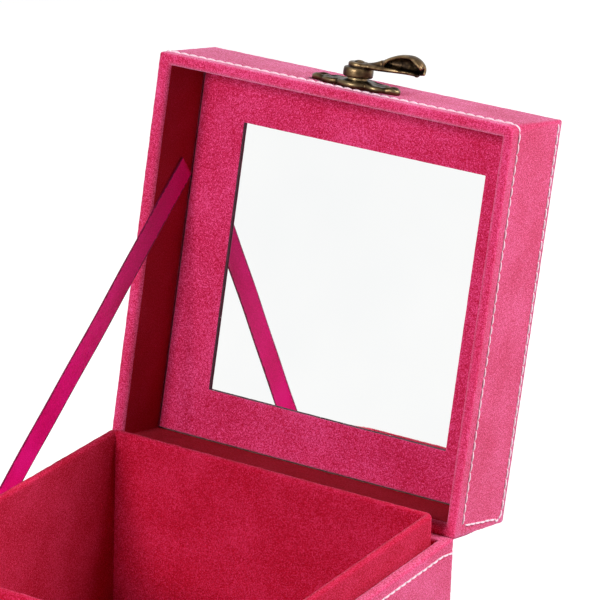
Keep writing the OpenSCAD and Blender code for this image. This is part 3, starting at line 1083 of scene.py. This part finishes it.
def fused(shape):
    """One smooth mesh, in metres, from parts in mm that overlap."""
    bmesh.ops.recalc_face_normals(shape, faces=shape.faces)
    mesh = bpy.data.meshes.new("hook_raw")
    shape.to_mesh(mesh)
    shape.free()
    mesh.transform(Matrix.Scale(MM, 4))
    raw = bpy.data.objects.new("hook_raw", mesh)
    bpy.context.scene.collection.objects.link(raw)
    remesh = raw.modifiers.new("fuse", "REMESH")
    remesh.mode = "VOXEL"
    remesh.voxel_size = VOXEL * MM
    soften = raw.modifiers.new("soften", "SMOOTH")
    soften.factor = 0.5
    soften.iterations = 7
    done = bpy.data.meshes.new_from_object(raw.evaluated_get(bpy.context.evaluated_depsgraph_get()))
    bpy.data.objects.remove(raw)
    return done


def shade_hood_inside(mesh):
    """Painted shade: a darker copy of the bronze on the faces inside the hood."""
    back = HOOK.inverted()
    for face in mesh.polygons:
        p = (back @ face.center) / MM
        if HOOD[2][0] < p.x < HOOD[-2][0]:
            _, z, r = next(h[:3] for h in reversed(HOOD) if h[0] <= p.x)
            if math.hypot(p.y - HOOD_SIDE, p.z - z) < r - 0.9 * HOOD_T:
                face.material_index = 1


def hook():
    """Cast hook: round eye, flat arm over it, a prong with a notch, and a hooded horn that curls over."""
    shape = bmesh.new()
    add_part(shape, *lathe_ring(EYE))
    add_part(shape, *lathe_ring(EYE_TOP))
    add_part(shape, *bar(ROOT, flat=0.4))
    add_part(shape, *bar(NECK))
    add_part(shape, *bar(PRONG, flat=0.75))
    add_hood(shape)
    mesh = fused(shape)
    mesh.transform(HOOK)
    mesh.shade_smooth()
    piece = bpy.data.objects.new("swing_hook", mesh)
    bpy.context.scene.collection.objects.link(piece)
    mesh.materials.clear()
    mesh.materials.append(BRONZE)
    mesh.materials.append(BRONZE_PAINTED_SHADE)
    shade_hood_inside(mesh)
    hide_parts("latch_hook")
    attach(piece, "hook")


hook()

# ---------------------------------------------------------------- camera, floor and light

AZIMUTH, ELEVATION, ROLL = math.radians(30.22), math.radians(21.11), math.radians(1.87)
DISTANCE = 1099.5 * MM
SHIFT_RIGHT, SHIFT_UP = 37.27 * MM, 46.81 * MM
LENS = 233.28
SENSOR = 36
FAR = 50
AIM = Vector((0, 0, 95 * MM))


def camera():
    back = Vector((math.sin(AZIMUTH) * math.cos(ELEVATION), -math.cos(AZIMUTH) * math.cos(ELEVATION),
                   math.sin(ELEVATION)))
    level = Vector((math.cos(AZIMUTH), math.sin(AZIMUTH), 0))
    upward = back.cross(level)
    right = math.cos(ROLL) * level + math.sin(ROLL) * upward
    up = -math.sin(ROLL) * level + math.cos(ROLL) * upward
    place = AIM + back * DISTANCE + right * SHIFT_RIGHT + up * SHIFT_UP
    data = bpy.data.cameras.new("camera")
    data.lens = LENS
    data.sensor_width = SENSOR
    data.clip_end = FAR
    cam = bpy.data.objects.new("camera", data)
    bpy.context.scene.collection.objects.link(cam)
    turn = Matrix((right, up, back)).transposed().to_4x4()
    cam.matrix_world = Matrix.Translation(place) @ turn
    bpy.context.scene.camera = cam


FLOOR_R = 1.3
FLOOR_GLOW = 0.7
AMBIENT = 0.02
BACKDROP = 0.975
LIGHTS_AIM = (0, 0.02, 0.1)
KEY = 22
KEY_PLACE = (0.95, 0.5, 0.95)
KEY_SIZE = 0.55
FILL = 16
FILL_PLACE = (-0.14, -1.15, 0.68)
FILL_SIZE = 0.34


def area_light(name, place, size, power):
    data = bpy.data.lights.new(name, "AREA")
    data.size = size
    data.energy = power
    lamp = bpy.data.objects.new(name, data)
    bpy.context.scene.collection.objects.link(lamp)
    facing = (Vector(LIGHTS_AIM) - Vector(place)).to_track_quat("-Z", "Y").to_matrix().to_4x4()
    lamp.matrix_world = Matrix.Translation(place) @ facing


def seen_by_eye(nodes, links):
    """1 for what the camera sees itself or in a reflection, and 0 for light that falls on the box."""
    path = nodes.new("ShaderNodeLightPath")
    return math_node(nodes, links, "MAXIMUM", path.outputs["Is Camera Ray"], path.outputs["Is Glossy Ray"])


def white_floor():
    shape = bmesh.new()
    bmesh.ops.create_circle(shape, cap_ends=True, segments=96, radius=FLOOR_R)
    mesh = bpy.data.meshes.new("floor")
    shape.to_mesh(mesh)
    shape.free()
    floor = bpy.data.objects.new("floor", mesh)
    bpy.context.scene.collection.objects.link(floor)
    material, nodes, links, shader = node_material("floor")
    shader.inputs["Base Color"].default_value = (0.5, 0.5, 0.5, 1)
    shader.inputs["Roughness"].default_value = 0.9
    shader.inputs["Emission Color"].default_value = (1, 1, 1, 1)
    glow = math_node(nodes, links, "MULTIPLY", seen_by_eye(nodes, links), FLOOR_GLOW)
    links.new(glow, shader.inputs["Emission Strength"])
    mesh.materials.append(material)


def white_backdrop():
    world = bpy.data.worlds.new("world")
    bpy.context.scene.world = world
    world.use_nodes = True
    nodes, links = world.node_tree.nodes, world.node_tree.links
    background = nodes["Background"]
    background.inputs["Color"].default_value = (1, 1, 1, 1)
    strength = range_node(nodes, links, seen_by_eye(nodes, links), AMBIENT, BACKDROP)
    links.new(strength, background.inputs["Strength"])


camera()
white_floor()
white_backdrop()
area_light("key", KEY_PLACE, KEY_SIZE, KEY)
area_light("fill", FILL_PLACE, FILL_SIZE, FILL)
bpy.context.scene.view_settings.view_transform = "Standard"
